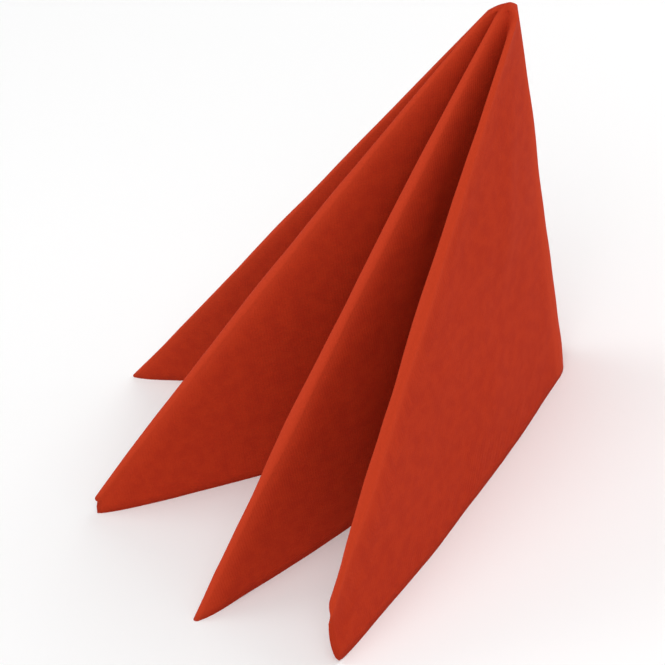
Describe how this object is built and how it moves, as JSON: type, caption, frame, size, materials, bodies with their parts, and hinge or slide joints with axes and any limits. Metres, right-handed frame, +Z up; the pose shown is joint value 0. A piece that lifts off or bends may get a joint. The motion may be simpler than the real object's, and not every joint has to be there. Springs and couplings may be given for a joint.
{
  "type": "paper napkin",
  "caption": "Square paper napkin held at its middle and stood up as a pointed fan of soft pleats, its corners as feet.",
  "frame": {"origin": "on the table, under the middle of the footprint's box", "axes": "+Z up from the table to the pinched top; -X towards the open ends of the pleats; the picture looks along +Y and down"},
  "size_m": [0.2196, 0.2372, 0.193],
  "materials": {
    "tissue": "matte soft tissue, dark red, the same on both faces"
  },
  "bodies": {
    "root": {"napkin": "tissue"}
  },
  "joints": []
}
